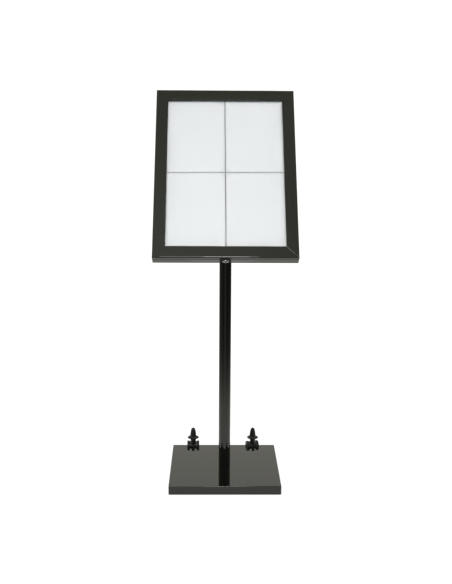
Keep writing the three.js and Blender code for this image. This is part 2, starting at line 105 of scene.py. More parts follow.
def noise_of(tree, place, scale, detail=3.0, roughness=0.5, stretch=None):
    """Noise from 0 to 1 with so many features in a metre."""
    if stretch:
        place = add_node(tree, "ShaderNodeMapping", {"Vector": place, "Scale": stretch}).outputs[0]
    values = {"Vector": place, "Scale": scale, "Detail": detail, "Roughness": roughness}
    return add_node(tree, "ShaderNodeTexNoise", values).outputs["Fac"]


def ranged(tree, value, low, high, to_low=0.0, to_high=1.0):
    """Maps low to high onto a new range, clamped."""
    values = {"Value": value, "From Min": low, "From Max": high, "To Min": to_low, "To Max": to_high}
    return add_node(tree, "ShaderNodeMapRange", values).outputs["Result"]


def product(tree, a, b):
    return add_node(tree, "ShaderNodeMath", {0: a, 1: b}, operation="MULTIPLY").outputs[0]


def blend_colours(tree, share, first, second):
    """first where share is 0, second where it is 1."""
    mix = add_node(tree, "ShaderNodeMix", data_type="RGBA")
    for socket, value in ((mix.inputs[0], share), (mix.inputs[6], first), (mix.inputs[7], second)):
        if isinstance(value, bpy.types.NodeSocket):
            tree.links.new(value, socket)
        else:
            socket.default_value = value if isinstance(value, float) else (*value, 1.0)
    return mix.outputs[2]


def bumped(tree, height, depth, normal=None):
    """A normal from a height field that is depth metres deep."""
    values = {"Height": height, "Distance": depth, "Strength": 1.0}
    if normal:
        values["Normal"] = normal
    return add_node(tree, "ShaderNodeBump", values).outputs["Normal"]


def specks(tree, place, scale, size):
    """1 on rare small round specks, 0 between them."""
    cells = add_node(tree, "ShaderNodeTexVoronoi", {"Vector": place, "Scale": scale})
    near = ranged(tree, cells.outputs["Distance"], size, size * 0.5)
    chosen = add_node(tree, "ShaderNodeSeparateColor", {"Color": cells.outputs["Color"]})
    return product(tree, near, ranged(tree, chosen.outputs[0], 0.86, 0.9))


def edge_share(tree, radius):
    """1 where the surface turns a corner within radius metres, 0 on the flat."""
    rounded = add_node(tree, "ShaderNodeBevel", {"Radius": radius}, samples=4).outputs[0]
    true_normal = add_node(tree, "ShaderNodeNewGeometry").outputs["Normal"]
    dot = add_node(tree, "ShaderNodeVectorMath", {0: rounded, 1: true_normal}, operation="DOT_PRODUCT")
    return ranged(tree, dot.outputs["Value"], 0.995, 0.93)


def feed(tree, shader, **sockets):
    for key, value in sockets.items():
        tree.links.new(value, shader.inputs[key.replace("_", " ")])


# ---------------------------------------------------------------- materials


def lacquer(name, peel=4e-6, waviness=6e-5):
    """Gloss black lacquer: orange peel, faint waves in the sheet, wiped smudges, dust and soft edge wear."""
    values = {"Specular_Tint": (1.0, 1.0, 0.94, 1.0), "IOR": 1.5}
    material, tree, shader, place = new_material(name, **values)
    smudge = noise_of(tree, place, 9.0, 4.0, 0.6)
    dust = specks(tree, place, 420.0, 0.14)
    wear = product(tree, edge_share(tree, 0.7 * MM), ranged(tree, noise_of(tree, place, 160.0), 0.45, 0.7))
    paint = blend_colours(tree, smudge, (0.0010, 0.0010, 0.0009), (0.0018, 0.0018, 0.0016))
    dusty = blend_colours(tree, product(tree, dust, 0.12), paint, (0.22, 0.215, 0.20))
    worn = blend_colours(tree, product(tree, wear, 0.5), dusty, (0.07, 0.068, 0.064))
    rough = ranged(tree, smudge, 0.35, 0.75, 0.025, 0.075)
    waves = bumped(tree, noise_of(tree, place, 7.0, 1.0), waviness)
    feed(
        tree,
        shader,
        Base_Color=worn,
        Roughness=rough,
        Normal=bumped(tree, noise_of(tree, place, 260.0, 2.0), peel, waves),
    )
    return material


def paper():
    """Uncoated white paper: cloudy formation and a fine fibre tooth."""
    material, tree, shader, place = new_material("white_paper", Roughness=0.82, Specular_IOR_Level=0.3)
    cloud = noise_of(tree, place, 140.0, 5.0, 0.6)
    colour = blend_colours(tree, cloud, (0.675, 0.678, 0.712), (0.705, 0.708, 0.744))
    fibre = noise_of(tree, place, 1500.0, 3.0, 0.7, (1.0, 1.0, 0.35))
    feed(tree, shader, Base_Color=colour, Normal=bumped(tree, fibre, 2e-5))
    return material


def board():
    """Dark grey felt-faced board behind the pages."""
    material, tree, shader, place = new_material("grey_board", Roughness=0.9)
    fleck = noise_of(tree, place, 700.0, 4.0, 0.7)
    colour = blend_colours(tree, fleck, (0.024, 0.026, 0.027), (0.060, 0.063, 0.065))
    feed(tree, shader, Base_Color=colour, Normal=bumped(tree, fleck, 8e-5))
    return material


def zinc():
    """Zinc-plated steel: soft spangle, dull patches, fine rolling marks."""
    material, tree, shader, place = new_material("zinc_steel", Metallic=1.0)
    crystal = add_node(tree, "ShaderNodeTexVoronoi", {"Vector": place, "Scale": 380.0})
    tone = add_node(tree, "ShaderNodeSeparateColor", {"Color": crystal.outputs["Color"]}).outputs[0]
    colour = blend_colours(tree, tone, (0.50, 0.51, 0.52), (0.64, 0.65, 0.65))
    dull = noise_of(tree, place, 60.0, 4.0)
    marks = noise_of(tree, place, 900.0, 2.0, 0.5, (1.0, 1.0, 0.1))
    feed(tree, shader, Base_Color=colour, Roughness=ranged(tree, dull, 0.3, 0.7, 0.24, 0.44))
    feed(tree, shader, Normal=bumped(tree, marks, 4e-6))
    return material


def raw_steel():
    """Hot-rolled steel plate: blue-grey mill scale with rusty freckles."""
    material, tree, shader, place = new_material("raw_steel", Metallic=0.85)
    scale = noise_of(tree, place, 45.0, 6.0, 0.65)
    colour = blend_colours(tree, scale, (0.10, 0.105, 0.115), (0.21, 0.21, 0.215))
    rust = specks(tree, place, 300.0, 0.25)
    rusty = blend_colours(tree, product(tree, rust, 0.7), colour, (0.16, 0.065, 0.028))
    feed(tree, shader, Base_Color=rusty, Roughness=ranged(tree, scale, 0.3, 0.7, 0.38, 0.62))
    feed(tree, shader, Normal=bumped(tree, scale, 3e-5))
    return material


def chrome():
    """Bright chrome plating with hairline scratches from keys and cleaning."""
    material, tree, shader, place = new_material("chrome_lock", Metallic=1.0)
    scratch = ranged(tree, noise_of(tree, place, 700.0, 2.0, 0.5, (1.0, 0.06, 1.0)), 0.62, 0.7)
    colour = blend_colours(tree, scratch, (0.66, 0.66, 0.65), (0.50, 0.50, 0.49))
    feed(tree, shader, Base_Color=colour, Roughness=ranged(tree, scratch, 0.0, 1.0, 0.06, 0.22))
    feed(tree, shader, Normal=bumped(tree, scratch, 2e-6))
    return material


def cast_aluminium():
    """Sand-cast aluminium with a pebbled skin."""
    material, tree, shader, place = new_material("cast_aluminium", Metallic=0.95)
    grain = noise_of(tree, place, 800.0, 4.0, 0.65)
    colour = blend_colours(tree, grain, (0.42, 0.42, 0.42), (0.60, 0.60, 0.59))
    feed(tree, shader, Base_Color=colour, Roughness=ranged(tree, grain, 0.3, 0.7, 0.42, 0.62))
    feed(tree, shader, Normal=bumped(tree, grain, 6e-5))
    return material


def rubber():
    """Matt black rubber with a dusty bloom."""
    material, tree, shader, place = new_material("black_rubber", Specular_IOR_Level=0.35)
    bloom = noise_of(tree, place, 110.0, 5.0, 0.7)
    colour = blend_colours(tree, bloom, (0.010, 0.010, 0.010), (0.026, 0.026, 0.025))
    grain = noise_of(tree, place, 1800.0, 2.0)
    feed(tree, shader, Base_Color=colour, Roughness=ranged(tree, bloom, 0.3, 0.7, 0.62, 0.85))
    feed(tree, shader, Normal=bumped(tree, grain, 1.5e-5))
    return material


def nylon():
    """Moulded black nylon: fine spark-eroded grain, and a painted sheen: colour painted lighter on its edges.
    """
    material, tree, shader, place = new_material("black_nylon", Specular_IOR_Level=0.22)
    cloud = noise_of(tree, place, 80.0, 3.0)
    edge = edge_share(tree, 0.8 * MM)
    colour = blend_colours(tree, cloud, (0.0045, 0.0045, 0.0045), (0.009, 0.009, 0.009))
    # Painted sheen: the edges get a lighter colour, standing in for the shine of rubbed nylon.
    painted_edge_sheen = blend_colours(tree, product(tree, edge, 0.4), colour, (0.024, 0.024, 0.023))
    grain = noise_of(tree, place, 1600.0, 2.0, 0.6)
    rough = ranged(tree, cloud, 0.3, 0.7, 0.30, 0.42)
    feed(tree, shader, Base_Color=painted_edge_sheen, Roughness=rough, Normal=bumped(tree, grain, 8e-6))
    return material


def clear(name, tint, smear):
    """Clear plastic that lets lamps through, with wiped smears on its face."""
    values = {"Transmission_Weight": 1.0, "IOR": 1.49}
    material, tree, shader, place = new_material(name, **values)
    film = noise_of(tree, place, 14.0, 5.0, 0.6, (1.0, 1.0, 0.3))
    colour = blend_colours(tree, film, tint, [c * 0.985 for c in tint])
    feed(tree, shader, Base_Color=colour, Roughness=ranged(tree, film, 0.4, 0.8, 0.0, smear))
    lamp_path = add_node(tree, "ShaderNodeLightPath").outputs["Is Shadow Ray"]
    open_shader = add_node(tree, "ShaderNodeBsdfTransparent", {"Color": (*tint, 1.0)})
    mix = add_node(tree, "ShaderNodeMixShader", {0: lamp_path})
    tree.links.new(shader.outputs[0], mix.inputs[1])
    tree.links.new(open_shader.outputs[0], mix.inputs[2])
    tree.links.new(mix.outputs[0], tree.nodes["Material Output"].inputs["Surface"])
    return material


LOOKS = {
    "black_lacquered_steel": lacquer("black_lacquered_steel"),
    "black_lacquered_aluminium": lacquer("black_lacquered_aluminium", peel=3e-6, waviness=2e-5),
    "raw_steel": raw_steel(),
    "zinc_steel": zinc(),
    "chrome_lock": chrome(),
    "cast_aluminium": cast_aluminium(),
    "black_rubber": rubber(),
    "black_nylon": nylon(),
    "grey_board": board(),
    "white_paper": paper(),
    "clear_acrylic": clear("clear_acrylic", (0.945, 0.955, 0.96), 0.04),
    "clear_glazing": clear("clear_glazing", (0.985, 0.995, 0.995), 0.02),
}

# ---------------------------------------------------------------- outlines


def filleted(points, radii, steps=4, closed=False):
    """An [a, b] outline with its corners rounded, by one radius or by one for each corner."""
    corners = [Vector(point) for point in points]
    outline = []
    for i, corner in enumerate(corners):
        radius = radii[i] if isinstance(radii, (list, tuple)) else radii
        at_end = not closed and i in (0, len(corners) - 1)
        if at_end or radius == 0:
            outline.append(corner)
            continue
        back = corners[i - 1] - corner
        ahead = corners[(i + 1) % len(corners)] - corner
        half = back.angle(ahead) / 2
        reach = min(radius / math.tan(half), 0.49 * back.length, 0.49 * ahead.length)
        middle = (back.normalized() + ahead.normalized()).normalized()
        centre = corner + middle * reach / math.cos(half)
        spoke = corner + back.normalized() * reach - centre
        sweep = spoke.angle_signed(corner + ahead.normalized() * reach - centre)
        for k in range(steps + 1):
            outline.append(centre + Matrix.Rotation(-sweep * k / steps, 2) @ spoke)
    return outline


def rounded_rectangle(half_x, half_y, radius, steps=6):
    """Outline of a rectangle about the origin, with 4 * (steps + 1) points."""
    points = []
    for quarter in range(4):
        side_x = 1 if quarter in (0, 3) else -1
        side_y = 1 if quarter in (0, 1) else -1
        for k in range(steps + 1):
            angle = (quarter + k / steps) * math.pi / 2
            x = side_x * (half_x - radius) + radius * math.cos(angle)
            y = side_y * (half_y - radius) + radius * math.sin(angle)
            points.append(Vector((x, y)))
    return points


def hexagon_reach(angle, across):
    """Distance from the axis to the side of a hexagon at an angle."""
    return across / 2 / math.cos((angle + math.pi / 6) % (math.pi / 3) - math.pi / 6)


# ---------------------------------------------------------------- mesh helpers


def shade(mesh, degrees=32):
    mesh.shade_smooth()
    mesh.set_sharp_from_angle(angle=math.radians(degrees))


def mesh_of(name, vertices, faces):
    """A mesh with doubled points merged, faces pointing out and only true corners left sharp."""
    shape = bmesh.new()
    made = [shape.verts.new(vertex) for vertex in vertices]
    for face in faces:
        shape.faces.new([made[i] for i in face])
    bmesh.ops.remove_doubles(shape, verts=shape.verts, dist=1e-7)
    bmesh.ops.recalc_face_normals(shape, faces=shape.faces)
    mesh = bpy.data.meshes.new(name)
    shape.to_mesh(mesh)
    shape.free()
    shade(mesh)
    return mesh


def loft(name, rings, closed=False, caps=True):
    """A skin over rings that all have the same number of points, capped or closed on itself."""
    count = len(rings[0])
    vertices = [Vector(point) for ring in rings for point in ring]
    faces = []
    for i in range(len(rings) if closed else len(rings) - 1):
        here, there = i * count, (i + 1) % len(rings) * count
        for k in range(count):
            after = (k + 1) % count
            faces.append([here + k, here + after, there + after, there + k])
    if caps and not closed:
        faces.append(list(range(count)))
        faces.append(list(range(len(vertices) - count, len(vertices))))
    return mesh_of(name, vertices, faces)


def turned(name, profile, segments=64, closed=False):
    """A solid of revolution about Z from (radius, height) points."""
    angles = [2 * math.pi * k / segments for k in range(segments)]
    rings = [[(r * math.cos(a), r * math.sin(a), z) for a in angles] for r, z in profile]
    return loft(name, rings, closed=closed, caps=False)


def flat_plate(name, half_x, half_y, corner, z0, z1, edge=0.4 * MM):
    """A plate about the origin with rounded corners and softened edges."""
    rings = []
    for inset, z in filleted([(half_x, z0), (0, z0), (0, z1), (half_x, z1)], edge, 3)[1:-1]:
        outline = rounded_rectangle(half_x - inset, half_y - inset, corner - inset)
        rings.append([(x, y, z) for x, y in outline])
    return loft(name, rings)


def block(name, low, high, edge=0.3 * MM):
    """A box between two corners with softened edges."""
    shape = bmesh.new()
    bmesh.ops.create_cube(shape, size=1.0)
    size = Vector(high) - Vector(low)
    bmesh.ops.scale(shape, vec=size, verts=shape.verts)
    bmesh.ops.translate(shape, vec=Vector(low) + size / 2, verts=shape.verts)
    bmesh.ops.bevel(shape, geom=shape.edges, offset=edge, segments=3, profile=0.5, affect="EDGES")
    mesh = bpy.data.meshes.new(name)
    shape.to_mesh(mesh)
    shape.free()
    shade(mesh)
    return mesh


def link(name, mesh, place=Matrix.Identity(4)):
    made = bpy.data.objects.new(name, mesh)
    bpy.context.scene.collection.objects.link(made)
    made.matrix_world = place
    return made


def applied(holder, name):
    """The final mesh of an object with modifiers; the object goes."""
    bpy.context.view_layer.update()
    graph = bpy.context.evaluated_depsgraph_get()
    mesh = bpy.data.meshes.new_from_object(holder.evaluated_get(graph))
    mesh.name = name
    bpy.data.objects.remove(holder)
    return mesh


def drilled(mesh, *tools):
    """The mesh with the tool meshes cut out of it."""
    holder = link("holder", mesh)
    cutters = [link("cutter", tool) for tool in tools]
    for cutter in cutters:
        modifier = holder.modifiers.new("cut", "BOOLEAN")
        modifier.operation = "DIFFERENCE"
        modifier.solver = "EXACT"
        modifier.object = cutter
    result = applied(holder, mesh.name)
    for cutter in cutters:
        bpy.data.objects.remove(cutter)
    shade(result)
    return result


def moved(mesh, place):
    mesh.transform(place)
    return mesh


def rod(radius, z0, z1, segments=48):
    """A plain upright cylinder, used to cut round holes."""
    return turned("rod", [(0, z0), (radius, z0), (radius, z1), (0, z1)], segments)


def keep_flats_flat(thing):
    """Lets large faces set the shading, so that a fillet doesn't bend the flat beside it."""
    weighted = thing.modifiers.new("flat_faces", "WEIGHTED_NORMAL")
    weighted.mode = "FACE_AREA"
    weighted.weight = 50
    weighted.keep_sharp = True


def add_piece(name, mesh, body, slot, replaced=(), place=Matrix.Identity(4)):
    """Puts a finished mesh into the scene as a piece that rides on a CAD body."""
    piece = link(name, mesh, place)
    mesh.materials.clear()
    mesh.materials.append(LOOKS[slot])
    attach(piece, body)
    if replaced:
        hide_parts(*replaced)
    keep_flats_flat(piece)
    return piece


# ---------------------------------------------------------------- CAD nodes that stay


def smooth_by_angle(degrees=32):
    """Geometry nodes that shade a mesh smooth and keep edges sharp past an angle."""
    group = bpy.data.node_groups.new("smooth_by_angle", "GeometryNodeTree")
    for direction in ("INPUT", "OUTPUT"):
        group.interface.new_socket("Geometry", in_out=direction, socket_type="NodeSocketGeometry")
    start = add_node(group, "NodeGroupInput").outputs[0]
    angle = add_node(group, "GeometryNodeInputMeshEdgeAngle").outputs[0]
    values = {0: angle, 1: math.radians(degrees)}
    past = add_node(group, "FunctionNodeCompare", values, operation="GREATER_THAN").outputs[0]
    faces = add_node(group, "GeometryNodeSetShadeSmooth", {"Geometry": start}, domain="FACE")
    edges = add_node(group, "GeometryNodeSetShadeSmooth", domain="EDGE")
    edges.inputs["Shade Smooth"].default_value = False
    group.links.new(faces.outputs[0], edges.inputs["Geometry"])
    group.links.new(past, edges.inputs["Selection"])
    group.links.new(edges.outputs[0], add_node(group, "NodeGroupOutput").inputs[0])
    return group


SMOOTHING = smooth_by_angle()


def refine(name, slot, edge=0.25 * MM):
    """Gives a CAD node its material, merged facets, softened edges and smooth round faces."""
    part = nodes[name]
    part.data.materials.clear()
    part.data.materials.append(LOOKS[slot])
    normals = part.data.attributes.get("custom_normal")
    if normals:
        part.data.attributes.remove(normals)
    weld = part.modifiers.new("weld", "WELD")
    weld.merge_threshold = 2e-6
    bevel = part.modifiers.new("edges", "BEVEL")
    bevel.width = edge
    bevel.segments = 2
    bevel.limit_method = "ANGLE"
    bevel.angle_limit = math.radians(40)
    smoothing = part.modifiers.new("smoothing", "NODES")
    smoothing.node_group = SMOOTHING
    keep_flats_flat(part)


def refine_cad_nodes():
    for name in ("ballast_plate", "post_plug"):
        refine(name, "raw_steel")
    for name in ("base_floor_pan", "post_washer", "post_bolt", "backing_plate"):
        refine(name, "zinc_steel")
    for name in ("board_rail_left", "board_rail_right", "lock_nut", "lock_keeper", "lock_cam"):
        refine(name, "zinc_steel")
    for name in ("rubber_foot_1", "rubber_foot_2", "rubber_foot_3", "rubber_foot_4", "centre_plug"):
        refine(name, "black_rubber")
    for name in ("door_seal", "glazing_gasket"):
        refine(name, "black_rubber", 0.2 * MM)
    for i in range(4):
        refine(f"corner_key_{i + 1}", "cast_aluminium", 0.5 * MM)
    for side in ("left", "right"):
        refine(f"hinge_{side}_door_leaf", "black_lacquered_steel", 0.15 * MM)
        refine(f"hinge_{side}_case_leaf", "black_lacquered_steel", 0.15 * MM)
        refine(f"hinge_{side}_pin", "zinc_steel", 0.15 * MM)
        refine(f"caster_{side}_axle", "zinc_steel", 0.4 * MM)
    refine("page_board", "grey_board", 0.2 * MM)
    refine("glazing", "clear_glazing", 0.4 * MM)


# ---------------------------------------------------------------- base


def build_base():
    """The base cover: a folded pan with a bend radius, closed and ground corners."""
    low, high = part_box("base_cover")
    half, wall = high.x, 2 * MM
    bend, corner, hole = 1.8 * MM, 3.0 * MM, 6.5 * MM
    top, foot = high.z, low.z
    section = filleted(
        [(half - hole, top), (0, top), (0, foot),
         (wall, foot), (wall, top - wall), (half - hole, top - wall)],
        [0, bend, 0.3 * MM, 0.3 * MM, 0.4 * MM, 0],
        8,
    )
    rings = []
    for inset, z in section:
        reach = half - inset
        if reach <= hole:
            direction = rounded_rectangle(half, half, corner)
            rings.append([(*(point.normalized() * hole), z) for point in direction])
        else:
            outline = rounded_rectangle(reach, reach, max(corner - inset, 0.4 * MM))
            rings.append([(x, y, z) for x, y in outline])
    add_piece("base_cover_pan", loft("base_cover_pan", rings, closed=True), "stand",
              "black_lacquered_steel", ["base_cover"])


# ---------------------------------------------------------------- post

POST_WALL = 2 * MM


def build_post():
    """Round tube, mitred to the head plate, with the weld that joins them."""
    low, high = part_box("post_tube")
    radius = high.x
    mitre = box_in(case_turn, "post_tube")[0].y
    depth_axis = case_turn.to_3x3() @ Vector((0, 1, 0))
    segments = 96

    def circle(r, z):
        return [(r * math.cos(2 * math.pi * k / segments), r * math.sin(2 * math.pi * k / segments), z)
                for k in range(segments)]

    def mitred(r, back=0.0):
        points = []
        for x, y, _ in circle(r, 0):
            points.append((x, y, (y * depth_axis.y - mitre - back) / -depth_axis.z))
        return points

    edge = 0.3 * MM
    bore = radius - POST_WALL
    rings = [
        circle(bore, low.z),
        circle(radius - edge, low.z),
        circle(radius, low.z + edge),
        mitred(radius, edge),
        mitred(radius - edge),
        mitred(bore),
    ]
    add_piece("post_tube_round", loft("post_tube_round", rings, closed=True), "stand",
              "black_lacquered_steel", ["post_tube"])
    add_piece("post_weld", weld_bead(mitred(radius), depth_axis), "stand", "black_lacquered_steel")


def weld_bead(path, depth_axis):
    """A fillet weld with a stack-of-coins ripple along a closed path on the tube."""
    steps = 10
    beads = 32
    rings = []
    count = len(path)
    for i in range(count):
        point = Vector(path[i])
        outward = Vector((point.x, point.y, 0)).normalized()
        along = (Vector(path[(i + 1) % count]) - Vector(path[i - 1])).normalized()
        out_in_plane = (outward - depth_axis * outward.dot(depth_axis)).normalized()
        phase = i * beads / count
        size = (2.1 + 0.35 * abs(math.sin(math.pi * phase))) * MM
        centre = point + depth_axis * 0.4 * MM
        side = along.cross(depth_axis).normalized()
        if side.dot(out_in_plane) < 0:
            side.negate()
        ring = []
        for k in range(steps):
            angle = 2 * math.pi * k / steps
            ring.append(centre + side * size * math.cos(angle) + depth_axis * size * 0.8 * math.sin(angle))
        rings.append(ring)
    return loft("post_weld", rings, closed=True)


BOLT_HOLE = 3.4 * MM


def build_head():
    """Head plate with rounded corners, and its four hexagon bolts."""
    low, high = box_in(front_turn, "head_plate")
    centre = (low + high) / 2
    half_x, half_y = (high.x - low.x) / 2, (high.y - low.y) / 2
    plate = flat_plate("head_plate_rounded", half_x, half_y, 8 * MM, low.z, high.z, 0.6 * MM)
    places = []
    for i in range(4):
        name = f"head_bolt_{i + 1}"
        bolt_low, bolt_high = box_in(front_turn, name)
        places.append(((bolt_low + bolt_high) / 2, bolt_low.z, bolt_high.z))
    holes = []
    for middle, _, _ in places:
        spot = Matrix.Translation((middle.x - centre.x, middle.y - centre.y, 0))
        holes.append(moved(rod(BOLT_HOLE, low.z - MM, high.z + MM), spot))
    plate = moved(drilled(plate, *holes), Matrix.Translation((centre.x, centre.y, 0)))
    add_piece("head_plate_rounded", plate, "stand", "black_lacquered_steel", ["head_plate"], front_turn)
    for i, (middle, back, tip) in enumerate(places):
        mesh = hexagon_bolt(tip - back)
        place = front_turn @ Matrix.Translation((middle.x, middle.y, back))
        add_piece(f"head_bolt_{i + 1}_turned", mesh, "stand", "zinc_steel", [f"head_bolt_{i + 1}"], place)


def hexagon_bolt(length):
    """Bolt up from Z = 0: chamfered hexagon head first, then its washer face and shank."""
    across, head, shank = 10 * MM, 4.4 * MM, 3 * MM
    segments = 72
    angles = [2 * math.pi * k / segments for k in range(segments)]

    def circle(r, z):
        return [(r * math.cos(a), r * math.sin(a), z) for a in angles]

    flat = across / 2 * 0.93
    shoulder = []
    for a in angles:
        reach = hexagon_reach(a, across)
        shoulder.append((reach * math.cos(a), reach * math.sin(a), (reach - flat) * 0.6))
    rings = [
        circle(0, 0),
        circle(flat * 0.5, 0),
        circle(flat, 0),
        shoulder,
        [(x, y, head) for x, y, _ in shoulder],
        circle(shank, head),
        circle(shank, length - 0.5 * MM),
        circle(0.8 * shank, length),
        circle(0, length),
    ]
    return loft("hexagon_bolt", rings, caps=False)


# ---------------------------------------------------------------- case


def build_case():
    """The case: one folded sheet tray with a return flange, bolt holes and a lock hole."""
    low, high = box_in(front_turn, "case_body")
    centre = (low + high) / 2
    half_x, half_y = (high.x - low.x) / 2, (high.y - low.y) / 2
    sheet, flange, bend, corner = 1.5 * MM, 16 * MM, 2.0 * MM, 3.0 * MM
    reach = half_y - 2 * MM
    front, back = high.z, low.z
    section = filleted(
        [(reach, back), (0, back), (0, front), (flange, front),
         (flange, front - sheet), (sheet, front - sheet), (sheet, back + sheet), (reach, back + sheet)],
        [0, bend, bend, 0.3 * MM, 0.3 * MM, 0.4 * MM, 0.4 * MM, 0],
        6,
    )
    # Inside the flange the rings shrink in proportion, so that they all keep the shape of the case.
    rings = []
    for inset, z in section:
        share = min(inset, flange) / flange
        far = max(inset - flange, 0)
        inner_x = half_x - flange * share - far * (half_x - flange) / (half_y - flange)
        inner_y = half_y - flange * share - far
        outline = rounded_rectangle(inner_x, inner_y, max(corner - inset, 0.3 * MM))
        rings.append([(x, y, z) for x, y in outline])
    tray = moved(loft("case_body_tray", rings), Matrix.Translation((centre.x, centre.y, 0)))
    tools = []
    for i in range(4):
        bolt_low, bolt_high = box_in(front_turn, f"head_bolt_{i + 1}")
        spot = (bolt_low + bolt_high) / 2
        tools.append(moved(rod(BOLT_HOLE, back - MM, back + 3 * MM), Matrix.Translation((spot.x, spot.y, 0))))
    lock_low, lock_high = box_in(front_turn, "lock_barrel")
    lock_middle = (lock_low + lock_high) / 2
    upright = Matrix.Rotation(-math.pi / 2, 4, "X")
    lock_place = Matrix.Translation((lock_middle.x, low.y, lock_middle.z)) @ upright
    tools.append(moved(rod(8.5 * MM, -2 * MM, 4 * MM), lock_place))
    tray = drilled(tray, *tools)
    add_piece("case_body_tray", tray, "stand", "black_lacquered_steel", ["case_body"], front_turn)


# ---------------------------------------------------------------- pages

PAGE_SKEW = math.radians(0.3)
PAGE_THICKNESS = 0.25 * MM
PAGE_LIFT = 0.35 * MM


def build_pages():
    """Four sheets of paper that don't lie quite flat, held at their meeting corners by a clear disc."""
    for i, corner in enumerate(("top_left", "top_right", "bottom_left", "bottom_right")):
        name = f"page_{corner}"
        low, high = box_in(front_turn, name)
        centre = (low + high) / 2
        half_x, half_y = 105 * MM, 148.5 * MM
        columns, rows = 28, 40
        shape = bmesh.new()
        bmesh.ops.create_grid(shape, x_segments=columns, y_segments=rows, size=1.0)
        towards_x = 1 if "left" in corner else -1
        towards_y = -1 if "top" in corner else 1
        for vertex in shape.verts:
            near = Vector((vertex.co.x - towards_x, vertex.co.y - towards_y)).length
            wave = noise.noise(Vector((vertex.co.x * 1.3, vertex.co.y * 1.7, 5.0 * i)))
            lift = PAGE_LIFT * min(near, 1.0) * (0.5 + wave)
            vertex.co = Vector((vertex.co.x * half_x, vertex.co.y * half_y, lift))
        mesh = bpy.data.meshes.new(f"{name}_sheet")
        shape.to_mesh(mesh)
        shape.free()
        mesh.shade_smooth()
        place = front_turn @ Matrix.Translation((centre.x, centre.y, low.z + PAGE_THICKNESS))
        piece = add_piece(f"{name}_sheet", mesh, "stand", "white_paper", [name],
                          place @ Matrix.Rotation(PAGE_SKEW, 4, "Z"))
        solid = piece.modifiers.new("thickness", "SOLIDIFY")
        solid.thickness = PAGE_THICKNESS
        solid.offset = -1.0


def build_disc():
    """The clear disc over the corners where the pages meet."""
    low, high = box_in(front_turn, "page_holding_disc")
    centre = (low + high) / 2
    radius = (high.x - low.x) / 2
    profile = filleted([(0, low.z), (radius, low.z), (radius, high.z), (0, high.z)], 0.4 * MM)
    disc = turned("page_holding_disc_clear", profile, 96)
    place = front_turn @ Matrix.Translation((centre.x, centre.y, 0))
    add_piece("page_holding_disc_clear", disc, "stand", "clear_acrylic", ["page_holding_disc"], place)


# ---------------------------------------------------------------- door

MITRE_GAP = 0.2 * MM
MITRE_EDGE = 0.35 * MM
# The paint has chipped off one edge of the lower right mitre: which end of which rail.
CHIPPED_END = {"right": 1}


def build_door():
    """Four mitred hollow rails with a rounded outer edge, their cut ends lightly deburred."""
    corner_low = box_in(front_turn, "door_rail_left")[0]
    corner_high = box_in(front_turn, "door_rail_right")[1]
    centre = (corner_low + corner_high) / 2
    half_x, half_y = corner_high.x - centre.x, corner_high.y - centre.y
    front, back = corner_high.z, corner_low.z
    sides = {
        "left": (half_x, half_y, 0),
        "top": (half_y, half_x, -90),
        "right": (half_x, half_y, 180),
        "bottom": (half_y, half_x, 90),
    }
    middle = front_turn @ Matrix.Translation((centre.x, centre.y, 0))
    for name, (offset, half_length, turn) in sides.items():
        mesh = mitred_rail(f"door_rail_{name}_section", half_length, front, back, CHIPPED_END.get(name))
        spin = Matrix.Rotation(math.radians(turn), 4, "Z")
        place = middle @ spin @ Matrix.Translation((-offset, 0, 0))
        rail = add_piece(f"door_rail_{name}_section", mesh, "door", "black_lacquered_aluminium",
                         [f"door_rail_{name}"], place)
        if name in CHIPPED_END:
            rail.data.materials.append(LOOKS["cast_aluminium"])
            for face, chipped in zip(rail.data.polygons, rail.data.attributes["chipped"].data):
                face.material_index = chipped.value


def mitred_rail(name, half_length, front, back, chipped_end):
    """A rail along Y with its outer edge at X = 0; each point's station follows the 45 degree mitre."""
    width, wall, chamber, lip_depth = 44 * MM, 2 * MM, 34 * MM, 8.5 * MM
    outer = filleted(
        [(0, back), (0, front), (width, front), (width, front - lip_depth), (width - wall, front - lip_depth),
         (width - wall, front - wall), (chamber, front - wall), (chamber, back)],
        [0.3 * MM, 5 * MM, 0.5 * MM, 0.3 * MM, 0.3 * MM, 0.3 * MM, 0.3 * MM, 0.3 * MM],
        10,
        closed=True,
    )
    inset = wall + 0.5 * MM
    hollow = filleted(
        [(inset, back + wall), (inset, front - inset),
         (chamber - wall, front - inset), (chamber - wall, back + wall)],
        0.8 * MM,
        4,
        closed=True,
    )
    shape = bmesh.new()
    chipped = shape.faces.layers.int.new("chipped")
    ends = {1: [], -1: []}
    rims = {}
    for outline in (outer, hollow):
        loops = {}
        for end in (1, -1):
            loops[end] = [shape.verts.new((x, end * (half_length - x - MITRE_GAP), z)) for x, z in outline]
        count = len(outline)
        for k in range(count):
            after = (k + 1) % count
            shape.faces.new([loops[1][k], loops[1][after], loops[-1][after], loops[-1][k]])
        for end in (1, -1):
            edges = [shape.edges.get((loops[end][k], loops[end][(k + 1) % count])) for k in range(count)]
            ends[end].extend(edges)
            if outline is outer:
                rims[end] = edges
    for end in (1, -1):
        bmesh.ops.triangle_fill(shape, edges=ends[end], use_beauty=True)
    for end, rim in rims.items():
        cut = bmesh.ops.bevel(shape, geom=rim, offset=MITRE_EDGE, segments=2, profile=0.5, affect="EDGES")
        for face in cut["faces"]:
            face[chipped] = int(end == chipped_end)
    bmesh.ops.remove_doubles(shape, verts=shape.verts, dist=1e-7)
    bmesh.ops.recalc_face_normals(shape, faces=shape.faces)
    mesh = bpy.data.meshes.new(name)
    shape.to_mesh(mesh)
    shape.free()
    shade(mesh)
    return mesh


# ---------------------------------------------------------------- lock


